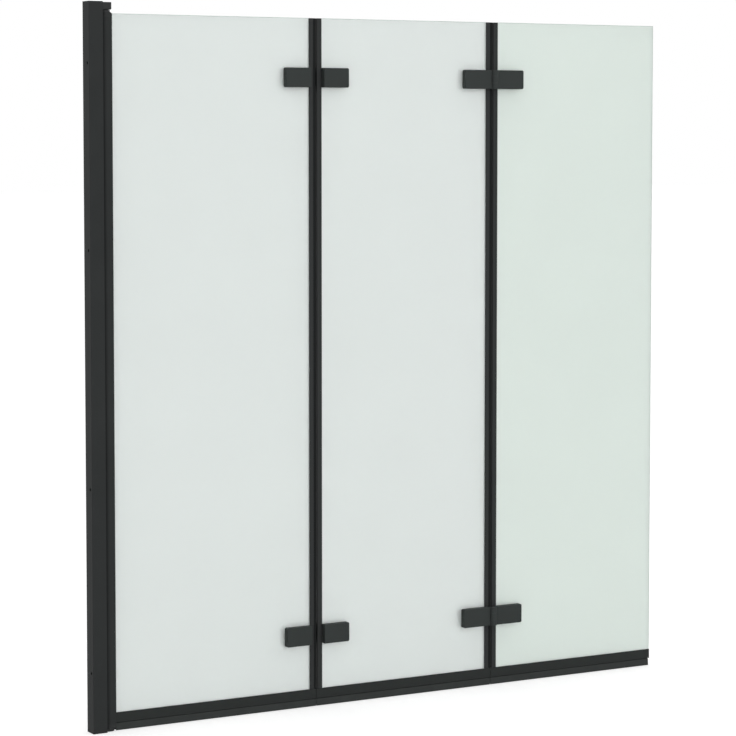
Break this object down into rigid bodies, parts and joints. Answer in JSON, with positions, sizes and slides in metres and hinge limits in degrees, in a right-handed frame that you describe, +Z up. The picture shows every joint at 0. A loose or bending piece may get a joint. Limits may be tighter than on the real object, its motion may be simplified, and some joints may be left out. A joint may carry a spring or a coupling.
{
  "type": "folding bath screen",
  "caption": "Wall-mounted folding bath screen: framed satin glass panels that turn on a wall profile and fold on glass hinges, with upright and bottom seals.",
  "frame": {"origin": "on the wall face of the wall profile, in the middle plane of the glass, at the height of the bath rim", "axes": "+X out from the wall along the opened screen, -Y towards the front (the side seen in the picture), +Z up"},
  "size_m": [1.3, 0.0456, 1.38],
  "materials": {
    "powder_coat": "fine matt black powder coating",
    "black_moulding": "matt black moulded plastic",
    "black_seal": "smooth satin black extruded seal",
    "soft_rubber": "dull black soft rubber",
    "steel": "bright stainless steel",
    "bush_plastic": "dark grey low-friction plastic",
    "glass": "satin frosted safety glass"
  },
  "bodies": {
    "wall_frame": {"wall_profile": "powder_coat", "wall_profile_cap": "black_moulding", "adjusting_profile": "powder_coat", "adjusting_screws": "steel", "screw_covers": "black_moulding", "top_bearing_block": "black_moulding", "bottom_bearing_block": "black_moulding", "pivot_pins": "steel", "bearing_block_screws": "steel", "pivot_seal": "soft_rubber"},
    "panel_1": {"pivot_profile": "powder_coat", "pivot_end_caps": "black_moulding", "bearing_bushes": "bush_plastic", "glazing_gasket": "soft_rubber", "glass_panel_1": "glass", "joint_seal_1a": "black_seal", "joint_lip_1a": "soft_rubber", "bottom_carrier_1": "black_seal", "bottom_wiper_1": "soft_rubber", "hinge_1_leaf_a": "powder_coat", "hinge_1_plate_a": "powder_coat", "hinge_1_pads_a": "bush_plastic", "hinge_1_screws_a": "steel", "hinge_1_pins": "steel"},
    "panel_2": {"glass_panel_2": "glass", "joint_seal_1b": "black_seal", "joint_seal_2a": "black_seal", "joint_lip_2a": "soft_rubber", "bottom_carrier_2": "black_seal", "bottom_wiper_2": "soft_rubber", "hinge_1_leaf_b": "powder_coat", "hinge_1_plate_b": "powder_coat", "hinge_1_pads_b": "bush_plastic", "hinge_1_screws_b": "steel", "hinge_2_leaf_a": "powder_coat", "hinge_2_plate_a": "powder_coat", "hinge_2_pads_a": "bush_plastic", "hinge_2_screws_a": "steel", "hinge_2_pins": "steel"},
    "panel_3": {"glass_panel_3": "glass", "joint_seal_2b": "black_seal", "bottom_carrier_3": "black_seal", "bottom_wiper_3": "soft_rubber", "hinge_2_leaf_b": "powder_coat", "hinge_2_plate_b": "powder_coat", "hinge_2_pads_b": "bush_plastic", "hinge_2_screws_b": "steel"}
  },
  "joints": [
    {"name": "wall_pivot", "type": "hinge", "parent": "wall_frame", "child": "panel_1", "pos_m": [0.039, 0, 0], "axis": [0, 0, 1], "range_deg": [-90, 0]},
    {"name": "fold_1", "type": "hinge", "parent": "panel_1", "child": "panel_2", "pos_m": [0.4865, 0.0158, 0], "axis": [0, 0, 1], "range_deg": [0, 180]},
    {"name": "fold_2", "type": "hinge", "parent": "panel_2", "child": "panel_3", "pos_m": [0.8965, -0.0158, 0], "axis": [0, 0, -1], "range_deg": [0, 180]}
  ]
}
